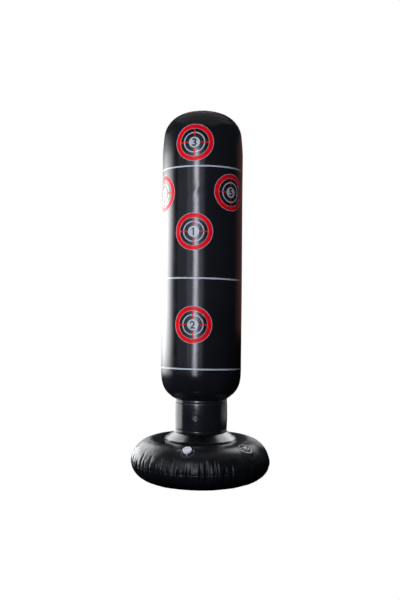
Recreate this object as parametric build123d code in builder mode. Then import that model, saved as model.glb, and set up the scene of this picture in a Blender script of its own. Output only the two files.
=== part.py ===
"""Free-standing inflatable punching bag: an air-filled column on a water-weighted ring base.

Units are millimetres. +Z is up and z = 0 is the floor. The origin is on the column's axis.
The printed front faces -Y. Azimuths are counted from that front towards +X.

The bag is made of welded PVC film. The column and its neck are one air chamber. The base is
a ring chamber that holds the water, with air above it. Each panel is drawn in its inflated
shape, from its outer surface inwards, and panels meet in inside fin welds.
"""

import os
from math import cos, radians, sin

from build123d import *

# --- Driving dimensions -------------------------------------------------------------------

HEIGHT = 1600
FILM = 0.9  # drawn film thickness
FIN = 7  # width of the inside weld margins
JOINT_GAP = 0.3  # clearance between neighbours on different bodies
WELD_LINE = 0.05  # half of the line between two welded margins
FIT = 0.05  # radial clearance of a sliding fit

COLUMN_R = 175
NECK_R = 115
NECK_BULGE = 2
NECK_LOW_Z = 206
NECK_TOP_Z = 350

# Column outline, from the top of the dome down to the neck (radius, height)
DOME_TOP = (0, HEIGHT)
DOME_CROWN = (99, 1580)
SHOULDER_SEAM = (150, 1539)
SHOULDER_LOW = (168.3, 1491)
SIDE_TOP = (COLUMN_R, 1404)
SIDE_LOW = (COLUMN_R, 468)
HEEL_TOP = (171, 424)
HEEL_SEAM = (136, 366)
LIP_IN = 12  # how far panel lips reach inside the neck

SEAM_LAP = 12  # width of the lap weld up the column's back
BASE_R = 300
EQUATOR_Z = 77
TUBE_R = 97  # radius of the base's upper outer quarter
CROWN_R = BASE_R - TUBE_R
CROWN_Z = EQUATOR_Z + TUBE_R
FOOT_R = 213
WELL_R = 112
WELL_TOP_Z = 160
WELL_RUN = CROWN_R - WELL_R
WELL_DROP = CROWN_Z - WELL_TOP_Z
WELL_BEND = (WELL_RUN**2 + WELL_DROP**2) / (2 * WELL_DROP)  # level at the crown
COLLAR_R = 153
COLLAR_SKIRT = 7
WATER_Z = 95
BALLAST_GAP = 10  # the film's pleats reach this far in
HOLE_REACH = 8  # how far a valve's hole is cut to each side of the film

# Where the valves sit (azimuth in degrees, radius)
NECK_VALVE_Z = 278
AIR_VALVE_AZIMUTH = 62
AIR_VALVE_R = 245
WATER_VALVE_R = 250

# Air valve, along its own axis, with 0 at the film's outer surface
SLEEVE_R = 12
SLEEVE_WALL = 1
SLEEVE_RIM = 0.6
SLEEVE_FLANGE_R = 17
CUP_DEPTH = 14
CUP_FLOOR = 1.2
GUIDE_R = 6.4
GUIDE_END = 18
STEM_R = 5
STEM_BORE_R = 3.5
STEM_TOP = 2.5
STEM_END = 28
STEM_RIM_R = 7.5
STEM_RIM = 1.2
STEM_BEAD_R = 5.8
STEM_BEAD = 1.5
STOPPER_CAP_R = 6
STOPPER_CAP = 1.6
STOPPER_LENGTH = 9.6
FLAP_R = 5.6
FLAP_THICK = 0.8
STRAP_THICK = 0.8
STRAP_WIDTH = 3
STRAP_REACH = 9.2

# Water valve, along its own axis
SEAT_R = 25
SEAT_HEIGHT = 5
SEAT_DIP = 8
SEAT_ROUND = 2
SPOUT_R = 19.5
SPOUT_BORE_R = 16.4
SPOUT_END = 20
FLANGE_R = 31.5
FLANGE_THICK = 1
TAB_REACH = 43
TAB_WIDTH = 15
PLUG_CAP_R = 18.5
PLUG_CAP_HEIGHT = 8
PLUG_DISH_R = 14
PLUG_DISH_DEPTH = 1.2
PLUG_LENGTH = 18
PLUG_WALL = 2.2
PLUG_ROUND = 1.5
PLUG_STRAP_WIDTH = 9
PLUG_STRAP_THICK = 1.2
PLUG_STRAP_LOW = 1.5

DOWN = (0, -1)
OUT = (1, 0)


# --- Shared shapes ------------------------------------------------------------------------


def site(azimuth, radius, height, tilt=0):
    """A plane on the bag's surface: z points out of the film, x runs around the bag."""
    a, t = radians(azimuth), radians(tilt)
    return Plane(
        origin=(radius * sin(a), -radius * cos(a), height),
        x_dir=(cos(a), sin(a), 0),
        z_dir=(sin(a) * cos(t), -cos(a) * cos(t), sin(t)),
    )


def base_site(azimuth, radius):
    """A site on the upper outer quarter of the base."""
    run = radius - CROWN_R
    rise = (TUBE_R**2 - run**2) ** 0.5
    tilt = Vector(1, 0).get_angle(Vector(run, rise))
    return site(azimuth, radius, EQUATOR_Z + rise, tilt)


def section_of(place):
    """The plane of a valve's half section: x is the radius, y the way out."""
    return Plane(origin=place.origin, x_dir=place.x_dir, z_dir=-place.y_dir)


def axis_of(place):
    return Axis(place.origin, place.z_dir)


def base_layer(inner, outer):
    """A layer that follows the base's upper outer quarter, between two tube radii."""
    with BuildPart(mode=Mode.PRIVATE) as layer:
        with BuildSketch(Plane.XZ):
            with Locations((CROWN_R, EQUATOR_Z)):
                Circle(outer)
                Circle(inner, mode=Mode.SUBTRACT)
        revolve(axis=Axis.Z)
    return layer.part


def neck_layer(inner, outer):
    """A cylindrical layer at the height of the neck valve."""
    with BuildPart(Plane.XY.offset(NECK_VALVE_Z), mode=Mode.PRIVATE) as layer:
        Cylinder(outer, 3 * SLEEVE_FLANGE_R)
        Cylinder(inner, 3 * SLEEVE_FLANGE_R, mode=Mode.SUBTRACT)
    return layer.part


def base_top(radius):
    """Height of the base's top surface between its well and its crown."""
    return CROWN_Z - WELL_BEND + (WELL_BEND**2 - (CROWN_R - radius) ** 2) ** 0.5


def film_face():
    """Gives the outline just drawn the film's thickness, on its inner side."""
    offset(amount=FILM, side=Side.RIGHT, kind=Kind.INTERSECTION)


def valve_hole(place, radius):
    """Cuts a valve's hole through the film that is being built."""
    with BuildSketch(place) as hole:
        Circle(radius + 2 * WELD_LINE)
    extrude(hole.sketch, amount=HOLE_REACH, both=True, mode=Mode.SUBTRACT)


def turn(place, *points):
    """Turns a closed outline, given as radius and height, about a valve's axis."""
    with BuildSketch(section_of(place)) as half:
        with BuildLine():
            Polyline(*points, close=True)
        make_face()
    revolve(half.sketch, axis=axis_of(place))


def save(piece, label):
    piece.part.label = label
    export_step(piece.part, f"parts/{label}.step")


os.makedirs("parts", exist_ok=True)

neck_place = site(0, NECK_R + NECK_BULGE, NECK_VALVE_Z)
air_place = base_site(AIR_VALVE_AZIMUTH, AIR_VALVE_R)
water_place = base_site(0, WATER_VALVE_R)

# --- Column -------------------------------------------------------------------------------
# Each outline runs so that the inside of the chamber is on its right.

seam_x, seam_z = SHOULDER_SEAM
heel_x, heel_z = HEEL_SEAM

crown_arc = TangentArc(DOME_TOP, DOME_CROWN, tangent=OUT)
seam_slope = TangentArc(DOME_CROWN, SHOULDER_SEAM, tangent=crown_arc % 1) % 1
side_arc = TangentArc(SIDE_LOW, HEEL_TOP, tangent=DOWN)
heel_slope = TangentArc(HEEL_TOP, HEEL_SEAM, tangent=side_arc % 1) % 1

with BuildPart() as top_panel:
    with BuildSketch(Plane.XZ):
        with BuildLine():
            TangentArc(DOME_TOP, DOME_CROWN, tangent=OUT)
            TangentArc(DOME_CROWN, (seam_x, seam_z + WELD_LINE), tangent=crown_arc % 1)
            Line((seam_x, seam_z + WELD_LINE), (seam_x - FIN, seam_z + WELD_LINE))
            film_face()
        make_face()
    revolve(axis=Axis.Z)
save(top_panel, "column_top_panel")

with BuildPart() as skin:
    with BuildSketch(Plane.XZ):
        with BuildLine():
            Line((seam_x - FIN, seam_z - WELD_LINE), (seam_x, seam_z - WELD_LINE))
            shoulder = TangentArc((seam_x, seam_z - WELD_LINE), SHOULDER_LOW, tangent=seam_slope)
            TangentArc(SHOULDER_LOW, SIDE_TOP, tangent=shoulder % 1)
            Line(SIDE_TOP, SIDE_LOW)
            TangentArc(SIDE_LOW, HEEL_TOP, tangent=DOWN)
            TangentArc(HEEL_TOP, (heel_x, heel_z + WELD_LINE), tangent=side_arc % 1)
            Line((heel_x, heel_z + WELD_LINE), (heel_x - FIN, heel_z + WELD_LINE))
            film_face()
        make_face()
    revolve(axis=Axis.Z)
    # The skin is one sheet: its two edges lap up the back of the column.
    with BuildSketch(Plane.XY.offset(SIDE_LOW[1])):
        Circle(COLUMN_R + FILM)
        Circle(COLUMN_R - FILM / 2, mode=Mode.SUBTRACT)
        with Locations((0, COLUMN_R)):
            Rectangle(SEAM_LAP, 4 * FIN, mode=Mode.INTERSECT)
    extrude(amount=SIDE_TOP[1] - SIDE_LOW[1])
save(skin, "column_skin")

with BuildPart() as bottom_panel:
    with BuildSketch(Plane.XZ):
        with BuildLine():
            Line((heel_x - FIN, heel_z - WELD_LINE), (heel_x, heel_z - WELD_LINE))
            TangentArc((heel_x, heel_z - WELD_LINE), (NECK_R, NECK_TOP_Z), tangent=heel_slope)
            Line((NECK_R, NECK_TOP_Z), (NECK_R - LIP_IN, NECK_TOP_Z))
            film_face()
        make_face()
    revolve(axis=Axis.Z)
save(bottom_panel, "column_bottom_panel")

# --- Neck ---------------------------------------------------------------------------------

with BuildPart() as neck:
    with BuildSketch(Plane.XZ):
        with BuildLine():
            ThreePointArc(
                (NECK_R, NECK_TOP_Z - JOINT_GAP),
                (NECK_R + NECK_BULGE, (NECK_TOP_Z + NECK_LOW_Z) / 2),
                (NECK_R, NECK_LOW_Z + JOINT_GAP),
            )
            film_face()
        make_face()
    revolve(axis=Axis.Z)
    valve_hole(neck_place, SLEEVE_R)
save(neck, "neck_skin")

with BuildPart() as divider:
    with BuildSketch(Plane.XY.offset(NECK_LOW_Z + WELD_LINE)):
        Circle(NECK_R - LIP_IN / 2)
    extrude(amount=FILM)
save(divider, "chamber_divider")

# --- Base ---------------------------------------------------------------------------------

collar_rise = FILM + 2 * WELD_LINE
skirt_r = COLLAR_R + COLLAR_SKIRT

with BuildPart() as collar:
    with BuildSketch(Plane.XZ):
        with BuildLine():
            Polyline(
                (NECK_R - LIP_IN, NECK_LOW_Z),
                (NECK_R, NECK_LOW_Z),
                (COLLAR_R, base_top(COLLAR_R) + collar_rise),
                (skirt_r, base_top(skirt_r) + collar_rise),
            )
            film_face()
        make_face()
    revolve(axis=Axis.Z)
save(collar, "base_collar")

with BuildPart() as upper_panel:
    with BuildSketch(Plane.XZ):
        with BuildLine():
            RadiusArc((WELL_R, WELL_TOP_Z), (CROWN_R, CROWN_Z), WELL_BEND)
            CenterArc((CROWN_R, EQUATOR_Z), TUBE_R, 90, -90)
            Line((BASE_R, EQUATOR_Z), (BASE_R - FIN, EQUATOR_Z))
            film_face()
        make_face()
    revolve(axis=Axis.Z)
    valve_hole(air_place, SLEEVE_R)
    valve_hole(water_place, SPOUT_R)
save(upper_panel, "base_upper_panel")

low_z = EQUATOR_Z - 2 * WELD_LINE
shoulder_low = (
    FOOT_R + (BASE_R - FOOT_R) * cos(radians(45)),
    low_z * (1 - sin(radians(45))),
)

with BuildPart() as lower_panel:
    with BuildSketch(Plane.XZ):
        with BuildLine():
            Line((BASE_R - FIN, low_z), (BASE_R, low_z))
            bilge = TangentArc((BASE_R, low_z), shoulder_low, tangent=DOWN)
            TangentArc(shoulder_low, (FOOT_R, 0), tangent=bilge % 1)
            Line((FOOT_R, 0), (0, 0))
            film_face()
        make_face()
    revolve(axis=Axis.Z)
save(lower_panel, "base_lower_panel")

floor_top = FILM + WELD_LINE
tube_out = WELL_R - WELD_LINE

with BuildPart() as inner_tube:
    with BuildSketch(Plane.XZ):
        with BuildLine():
            Polyline(
                (tube_out - FILM, floor_top),
                (tube_out + FIN, floor_top),
                (tube_out + FIN, floor_top + FILM),
                (tube_out, floor_top + FILM),
                (tube_out, WELL_TOP_Z),
                (tube_out - FILM, WELL_TOP_Z),
                close=True,
            )
        make_face()
    revolve(axis=Axis.Z)
save(inner_tube, "base_inner_tube")

# The water fills the ring up to its level, inside the film on every side.
water_floor = floor_top + FILM + 2 * WELD_LINE

with BuildPart() as ballast:
    with BuildSketch(Plane.XZ):
        with BuildLine():
            bilge = TangentArc((BASE_R, low_z), shoulder_low, tangent=DOWN)
            TangentArc(shoulder_low, (FOOT_R, 0), tangent=bilge % 1)
            Polyline((FOOT_R, 0), (WELL_R, 0), (WELL_R, CROWN_Z), (CROWN_R, CROWN_Z))
            CenterArc((CROWN_R, EQUATOR_Z), TUBE_R, 0, 90)
            Line((BASE_R, EQUATOR_Z), (BASE_R, low_z))
        make_face()
        offset(amount=-BALLAST_GAP)
        with Locations((0, water_floor)):
            Rectangle(BASE_R, WATER_Z - water_floor, align=(Align.MIN, Align.MIN), mode=Mode.INTERSECT)
        with Locations((BASE_R, EQUATOR_Z)):
            Rectangle(2 * (FIN + BALLAST_GAP), 2 * (FILM + BALLAST_GAP), mode=Mode.SUBTRACT)
    revolve(axis=Axis.Z)
save(ballast, "water_ballast")

# --- Air valves ---------------------------------------------------------------------------
# A sunk sleeve is welded behind a hole in the film. The stem slides out of it for inflating.
# The stopper closes the stem, and a flap at the stem's inner end holds the air.


def air_valve(prefix, place, layer, film_r):
    cup_r = SLEEVE_R - SLEEVE_WALL
    stem_hole_r = STEM_R + FIT
    flange_top = film_r - FILM - JOINT_GAP

    with BuildPart() as sleeve:
        with BuildSketch(place):
            Circle(SLEEVE_FLANGE_R)
            Circle(SLEEVE_R - SLEEVE_WALL / 2, mode=Mode.SUBTRACT)
        extrude(amount=-CUP_DEPTH)
        add(layer(flange_top - SLEEVE_WALL, flange_top), mode=Mode.INTERSECT)
        turn(
            place,
            (cup_r, SLEEVE_RIM),
            (SLEEVE_R, SLEEVE_RIM),
            (SLEEVE_R, -CUP_DEPTH),
            (GUIDE_R, -CUP_DEPTH),
            (GUIDE_R, -GUIDE_END),
            (stem_hole_r, -GUIDE_END),
            (stem_hole_r, CUP_FLOOR - CUP_DEPTH),
            (cup_r, CUP_FLOOR - CUP_DEPTH),
        )
    save(sleeve, f"{prefix}_sleeve")

    with BuildPart() as stem:
        turn(
            place,
            (STEM_BORE_R, -STEM_TOP),
            (STEM_RIM_R, -STEM_TOP),
            (STEM_RIM_R, -STEM_TOP - STEM_RIM),
            (STEM_R, -STEM_TOP - STEM_RIM),
            (STEM_R, STEM_BEAD - STEM_END),
            (STEM_BEAD_R, STEM_BEAD - STEM_END),
            (STEM_BEAD_R, -STEM_END),
            (STEM_BORE_R, -STEM_END),
        )
    save(stem, f"{prefix}_stem")

    cap_low = JOINT_GAP - STEM_TOP
    cap_top = cap_low + STOPPER_CAP
    with BuildPart() as stopper:
        turn(
            place,
            (0, cap_top),
            (STOPPER_CAP_R, cap_top),
            (STOPPER_CAP_R, cap_low),
            (STEM_BORE_R - FIT, cap_low),
            (STEM_BORE_R - FIT, -STOPPER_LENGTH),
            (0, -STOPPER_LENGTH),
        )
    save(stopper, f"{prefix}_stopper")

    # A short band from the stem's rim to just beside the stopper's cap
    with BuildPart() as strap:
        with BuildSketch(section_of(place)):
            with BuildLine():
                Polyline(
                    (STEM_RIM_R, -STEM_TOP - STEM_RIM),
                    (STRAP_REACH, -STEM_TOP - STEM_RIM),
                    (STRAP_REACH, cap_top),
                    (STOPPER_CAP_R + JOINT_GAP, cap_top),
                    (STOPPER_CAP_R + JOINT_GAP, cap_top - STRAP_THICK),
                    (STRAP_REACH - STRAP_THICK, cap_top - STRAP_THICK),
                    (STRAP_REACH - STRAP_THICK, -STEM_TOP - STEM_RIM + STRAP_THICK),
                    (STEM_RIM_R, -STEM_TOP - STEM_RIM + STRAP_THICK),
                    close=True,
                )
            make_face()
        extrude(amount=STRAP_WIDTH / 2, both=True)
    save(strap, f"{prefix}_strap")

    with BuildPart() as flap:
        turn(
            place,
            (0, -STEM_END - JOINT_GAP),
            (FLAP_R, -STEM_END - JOINT_GAP),
            (FLAP_R, -STEM_END - JOINT_GAP - FLAP_THICK),
            (0, -STEM_END - JOINT_GAP - FLAP_THICK),
        )
    save(flap, f"{prefix}_flap")


air_valve("neck_valve", neck_place, neck_layer, NECK_R + NECK_BULGE)
air_valve("base_valve", air_place, base_layer, TUBE_R)

# --- Water valve --------------------------------------------------------------------------
# A wide filling spout in a black seat. A thin flange welds it to the film, and a white plug
# closes it.

flange_low = TUBE_R + 2 * WELD_LINE
flange_top = flange_low + FLANGE_THICK

with BuildPart() as flange:
    with BuildSketch(water_place):
        Circle(FLANGE_R)
        with Locations((-TAB_REACH / 2, 0)):
            RectangleRounded(TAB_REACH, TAB_WIDTH, TAB_WIDTH / 3)
        Circle(SPOUT_R + WELD_LINE, mode=Mode.SUBTRACT)
    extrude(amount=-2 * SEAT_DIP)
    add(base_layer(flange_low, flange_top), mode=Mode.INTERSECT)
save(flange, "water_valve_flange")

with BuildPart() as seat:
    turn(
        water_place,
        (SPOUT_BORE_R, SEAT_HEIGHT),
        (SEAT_R - SEAT_ROUND, SEAT_HEIGHT),
        (SEAT_R, SEAT_HEIGHT - SEAT_ROUND),
        (SEAT_R, -SEAT_DIP),
        (SPOUT_BORE_R, -SEAT_DIP),
    )
    add(base_layer(TUBE_R / 2, flange_top + WELD_LINE), mode=Mode.SUBTRACT)
    turn(
        water_place,
        (SPOUT_BORE_R, SEAT_HEIGHT),
        (SPOUT_R, SEAT_HEIGHT),
        (SPOUT_R, -SPOUT_END),
        (SPOUT_BORE_R, -SPOUT_END),
    )
save(seat, "water_valve_seat")

cap_low = SEAT_HEIGHT + JOINT_GAP
cap_top = cap_low + PLUG_CAP_HEIGHT
plug_r = SPOUT_BORE_R - FIT

with BuildPart() as plug:
    turn(
        water_place,
        (0, cap_top - PLUG_DISH_DEPTH),
        (PLUG_DISH_R, cap_top - PLUG_DISH_DEPTH),
        (PLUG_DISH_R, cap_top),
        (PLUG_CAP_R - PLUG_ROUND, cap_top),
        (PLUG_CAP_R, cap_top - PLUG_ROUND),
        (PLUG_CAP_R, cap_low),
        (plug_r, cap_low),
        (plug_r, cap_low - PLUG_LENGTH),
        (plug_r - PLUG_WALL, cap_low - PLUG_LENGTH),
        (plug_r - PLUG_WALL, cap_low),
        (0, cap_low),
    )
save(plug, "water_valve_plug")

# The strap ties the plug to the flange's tab and lies over the seat's edge.
strap_top = cap_low + PLUG_STRAP_THICK
strap_edge = SEAT_R + PLUG_STRAP_THICK

with BuildPart() as plug_strap:
    with BuildSketch(section_of(water_place)):
        with BuildLine():
            Polyline(
                (-TAB_REACH, PLUG_STRAP_LOW),
                (-TAB_REACH, PLUG_STRAP_LOW + PLUG_STRAP_THICK),
                (-strap_edge, strap_top),
                (-PLUG_CAP_R - JOINT_GAP, strap_top),
                (-PLUG_CAP_R - JOINT_GAP, cap_low),
                (-SEAT_R, cap_low),
                (2 * PLUG_STRAP_THICK - TAB_REACH, PLUG_STRAP_LOW),
                close=True,
            )
        make_face()
    extrude(amount=PLUG_STRAP_WIDTH / 2, both=True)
save(plug_strap, "water_valve_strap")
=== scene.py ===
from math import atan2, cos, pi, radians, sin

import bmesh
import bpy
import numpy as np
from mathutils import Matrix, Vector


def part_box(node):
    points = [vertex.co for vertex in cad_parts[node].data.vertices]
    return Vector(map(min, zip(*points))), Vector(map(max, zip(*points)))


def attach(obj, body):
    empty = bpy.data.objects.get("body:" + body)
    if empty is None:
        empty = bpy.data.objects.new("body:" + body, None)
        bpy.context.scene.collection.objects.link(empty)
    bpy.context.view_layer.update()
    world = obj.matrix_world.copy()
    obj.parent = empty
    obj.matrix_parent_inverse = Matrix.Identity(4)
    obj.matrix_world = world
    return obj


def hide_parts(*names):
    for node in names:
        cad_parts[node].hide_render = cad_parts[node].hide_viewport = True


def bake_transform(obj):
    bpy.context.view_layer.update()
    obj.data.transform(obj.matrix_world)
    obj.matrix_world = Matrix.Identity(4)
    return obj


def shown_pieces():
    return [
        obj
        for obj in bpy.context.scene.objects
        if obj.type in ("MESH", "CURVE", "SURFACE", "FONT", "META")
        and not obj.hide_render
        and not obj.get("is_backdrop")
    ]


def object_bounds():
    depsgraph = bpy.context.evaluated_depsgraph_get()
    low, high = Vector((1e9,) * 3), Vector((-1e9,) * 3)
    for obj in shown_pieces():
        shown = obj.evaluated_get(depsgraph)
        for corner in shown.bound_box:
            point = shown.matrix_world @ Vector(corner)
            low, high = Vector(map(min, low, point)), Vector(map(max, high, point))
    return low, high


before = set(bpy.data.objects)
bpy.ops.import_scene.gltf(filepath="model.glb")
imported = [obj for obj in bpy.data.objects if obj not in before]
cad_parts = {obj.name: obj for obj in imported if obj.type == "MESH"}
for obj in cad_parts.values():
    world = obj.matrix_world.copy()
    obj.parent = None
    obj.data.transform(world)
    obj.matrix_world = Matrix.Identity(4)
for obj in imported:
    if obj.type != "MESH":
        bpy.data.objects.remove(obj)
cad_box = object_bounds()

# --- Sizes, in metres ---------------------------------------------------------------------

TOP_Z = cad_box[1][2]
COLUMN_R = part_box("column_skin")[1][0]
SIDE_TOP_Z, SIDE_LOW_Z = 1.404, 0.468
SHOULDER_SEAM_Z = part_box("column_top_panel")[0][2]
HEEL_SEAM_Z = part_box("column_bottom_panel")[1][2]
NECK_LOW, NECK_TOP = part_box("neck_skin")[0][2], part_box("neck_skin")[1][2]
NECK_R, NECK_BULGE = 0.115, 0.002
BASE_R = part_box("base_upper_panel")[1][0]
EQUATOR_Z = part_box("base_upper_panel")[0][2]
CROWN_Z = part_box("base_upper_panel")[1][2]
TUBE_R = CROWN_Z - EQUATOR_Z
CROWN_R = BASE_R - TUBE_R
FOOT_R = 0.213
WELL = (0.112, 0.160)
COLLAR_RIM_R, COLLAR_RIM_Z, SKIRT_R = 0.1530, 0.1790, 0.158
FILM = 0.0009
INK = 0.0002
INK_LIFT = 0.0003
OVER_LIFT = 2 * INK_LIFT  # for ink that is printed over other ink
LAP = 0.012
NECK_VALVE_Z = 0.278
AIR_VALVE_AZIMUTH, AIR_VALVE_R = radians(62), 0.245
WATER_VALVE_R = 0.250
SLEEVE_R, SPOUT_R = 0.0121, 0.0196

CAMERA_AZIMUTH = radians(12)


# --- Outlines -----------------------------------------------------------------------------


def turned(t, angle):
    c, s = np.cos(angle), np.sin(angle)
    return np.array([t[0] * c - t[1] * s, t[0] * s + t[1] * c])


def arc(p, q, t, step):
    """Points from p to q on the arc that starts along t, and the direction it ends in."""
    p, q, t = np.array(p, float), np.array(q, float), np.array(t, float)
    chord = q - p
    turn = atan2(t[0] * chord[1] - t[1] * chord[0], float(t @ chord))
    count = max(2, int(np.ceil(np.hypot(*chord) / step)))
    if abs(turn) < 1e-4:
        return [p + chord * k / count for k in range(1, count + 1)], t
    size = np.hypot(*chord) / sin(turn)
    beta = [turn * k / count for k in range(1, count + 1)]
    return [p + turned(t, b) * size * sin(b) for b in beta], turned(t, 2 * turn)


def chain(points, tangent, step=0.002):
    made, t = [np.array(points[0], float)], np.array(tangent, float)
    for p, q in zip(points, points[1:]):
        more, t = arc(p, q, t, step)
        made += more
    return np.array(made)


class Outline:
    """A half section as radius and height against arc length, evened out and smoothed."""

    def __init__(self, points, soften=0.0, step=0.001):
        run = np.concatenate([[0], np.cumsum(np.hypot(*np.diff(points, axis=0).T))])
        self.length = run[-1]
        self.s = np.linspace(0, self.length, int(self.length / step) + 1)
        self.r = np.interp(self.s, run, points[:, 0])
        self.z = np.interp(self.s, run, points[:, 1])
        if soften:
            half = int(3 * soften / step)
            kernel = np.exp(-0.5 * (np.arange(-half, half + 1) * step / soften) ** 2)
            kernel /= kernel.sum()
            for name, mirror in (("r", True), ("z", False)):
                v = getattr(self, name)
                head = 2 * v[0] - v[half:0:-1]
                if not mirror or abs(self.r[0]) < 1e-9:
                    head = -v[half:0:-1] if mirror else v[half:0:-1]
                tail = 2 * v[-1] - v[-2 : -half - 2 : -1]
                setattr(self, name, np.convolve(np.concatenate([head, v, tail]), kernel, "valid"))

    def at(self, s):
        return np.interp(s, self.s, self.r), np.interp(s, self.s, self.z)

    def normal(self, s):
        d = 0.0015
        r1, z1 = self.at(np.clip(s + d, 0, self.length))
        r0, z0 = self.at(np.clip(s - d, 0, self.length))
        size = np.hypot(r1 - r0, z1 - z0)
        return -(z1 - z0) / size, (r1 - r0) / size

    def where(self, z):
        """Arc length at a height, on an outline that only goes down."""
        return float(np.interp(-z, -self.z, self.s))


# --- Surfaces -----------------------------------------------------------------------------


def place(outline, relief, azimuth, s):
    """Points of the relieved surface. Azimuth 0 faces -Y and grows towards +X."""
    r, z = outline.at(s)
    nr, nz = outline.normal(s)
    h = relief(azimuth, s, r, z)
    r, z = r + nr * h, z + nz * h
    return np.stack([r * np.sin(azimuth), -r * np.cos(azimuth), z], -1)


def lifted(outline, relief, azimuth, s, lift):
    """Points a little above the relieved surface, along its own normal."""
    d = 0.0012
    p = place(outline, relief, azimuth, s)
    r, _ = outline.at(s)
    across = place(outline, relief, azimuth + d / r, s) - place(outline, relief, azimuth - d / r, s)
    along = place(outline, relief, azimuth, s + d) - place(outline, relief, azimuth, s - d)
    n = np.cross(along, across)
    return p + n / np.linalg.norm(n, axis=-1, keepdims=True) * lift


def grid_faces(rows, columns, closed):
    """Quads over a rows x columns grid of vertices, facing outwards."""
    i = np.arange(rows - 1)[:, None]
    j = np.arange(columns if closed else columns - 1)[None, :]
    k = (j + 1) % columns
    a, b = i * columns + j, i * columns + k
    return np.stack([a, a + columns, b + columns, b], -1).reshape(-1, 4)


def vertex_normals(points, faces):
    n = np.zeros_like(points)
    face = np.cross(
        points[faces[:, 2]] - points[faces[:, 0]], points[faces[:, 3]] - points[faces[:, 1]]
    )
    for k in range(4):
        np.add.at(n, faces[:, k], face)
    return n / np.maximum(np.linalg.norm(n, axis=1, keepdims=True), 1e-12)


def edge_keys(a, b, count):
    return np.minimum(a, b) * count + np.maximum(a, b)


def shell(name, points, faces, thickness, material):
    """A closed film: the outer sheet, an inner one and the rims between them."""
    used, faces = np.unique(faces, return_inverse=True)
    faces = faces.reshape(-1, 4)
    points = points[used]
    count = len(points)
    inner = points - vertex_normals(points, faces) * thickness
    a, b = faces.ravel(), np.roll(faces, -1, axis=1).ravel()
    keep = a != b
    a, b = a[keep], b[keep]
    keys = edge_keys(a, b, count)
    _, index, times = np.unique(keys, return_index=True, return_counts=True)
    rim = index[times == 1]
    ra, rb = a[rim], b[rim]
    rims = np.stack([rb, ra, ra + count, rb + count], -1)
    every = np.concatenate([faces, faces[:, ::-1] + count, rims])
    loops = [[v for k, v in enumerate(f) if v != f[k - 1]] for f in every.tolist()]
    mesh = bpy.data.meshes.new(name)
    mesh.from_pydata(np.concatenate([points, inner]).tolist(), [], loops)
    mesh.polygons.foreach_set("use_smooth", np.ones(len(mesh.polygons), bool))
    ends = np.empty(2 * len(mesh.edges), int)
    mesh.edges.foreach_get("vertices", ends)
    ends = ends.reshape(-1, 2)
    here = edge_keys(ends[:, 0], ends[:, 1], 2 * count)
    edges = np.concatenate(
        [edge_keys(ra, rb, 2 * count), edge_keys(ra + count, rb + count, 2 * count)]
    )
    sharp = mesh.attributes.new("sharp_edge", "BOOLEAN", "EDGE")
    sharp.data.foreach_set("value", np.isin(here, edges))
    mesh.validate()
    obj = bpy.data.objects.new(name, mesh)
    bpy.context.scene.collection.objects.link(obj)
    mesh.materials.append(material)
    return obj


def cut_hole(points, faces, centre, axis, radius):
    """Drops the faces inside a round hole and draws the edge that is left onto it."""
    centre, axis = np.array(centre), np.array(axis)
    from_centre = points - centre
    height = from_centre @ axis
    flat = from_centre - height[:, None] * axis
    distance = np.linalg.norm(flat, axis=1)
    near = np.abs(height) < 0.03
    inside = near & (distance < radius)
    kept = faces[~inside[faces].any(1)]
    border = np.setdiff1d(np.unique(faces[inside[faces].any(1)]), np.flatnonzero(inside))
    border = np.intersect1d(border, kept)
    points = points.copy()
    points[border] -= flat[border] * (1 - radius / distance[border])[:, None]
    return points, kept


def film_sheet(name, outline, relief, s, azimuth, material, holes=()):
    grid_s, grid_a = np.meshgrid(s, azimuth, indexing="ij")
    points = place(outline, relief, grid_a, grid_s).reshape(-1, 3)
    faces = grid_faces(len(s), len(azimuth), closed=True)
    if outline.at(s[0])[0] < 1e-6:
        faces[faces < len(azimuth)] = 0
    if outline.at(s[-1])[0] < 1e-6:
        last = (len(s) - 1) * len(azimuth)
        faces[faces >= last] = last
    for centre, axis, radius in holes:
        points, faces = cut_hole(points, faces, centre, axis, radius)
    return shell(name, points, faces, FILM, material)


def around(count, extra=()):
    return np.unique(np.concatenate([np.arange(count) * 2 * pi / count - pi, extra]))


def off(a, b):
    """The signed angle from b to a."""
    return (a - b + pi) % (2 * pi) - pi


def bell(x):
    return np.exp(-0.5 * x * x)


def ease(x):
    x = np.clip(x, 0, 1)
    return x * x * (3 - 2 * x)


def waves(seed, count, turns, rates):
    """Smooth unevenness: a sum of waves that run around and along the surface."""
    r = np.random.default_rng(seed)
    terms = [
        (r.integers(*turns), r.uniform(*rates), r.uniform(0, 2 * pi), r.uniform(0.4, 1))
        for _ in range(count)
    ]

    def value(a, s):
        total = 0
        for k, rate, phase, size in terms:
            total = total + size * (turns[0] / k) ** 0.6 * np.cos(k * a + rate * s + phase)
        return total / count**0.5

    return value


# --- Materials ----------------------------------------------------------------------------


def material(name, colour, roughness, **inputs):
    m = bpy.data.materials.new(name)
    m.use_nodes = True
    bsdf = m.node_tree.nodes["Principled BSDF"]
    bsdf.inputs["Base Color"].default_value = (*colour, 1)
    bsdf.inputs["Roughness"].default_value = roughness
    for key, value in inputs.items():
        bsdf.inputs[key.replace("_", " ")].default_value = value
    return m, m.node_tree, bsdf


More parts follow.
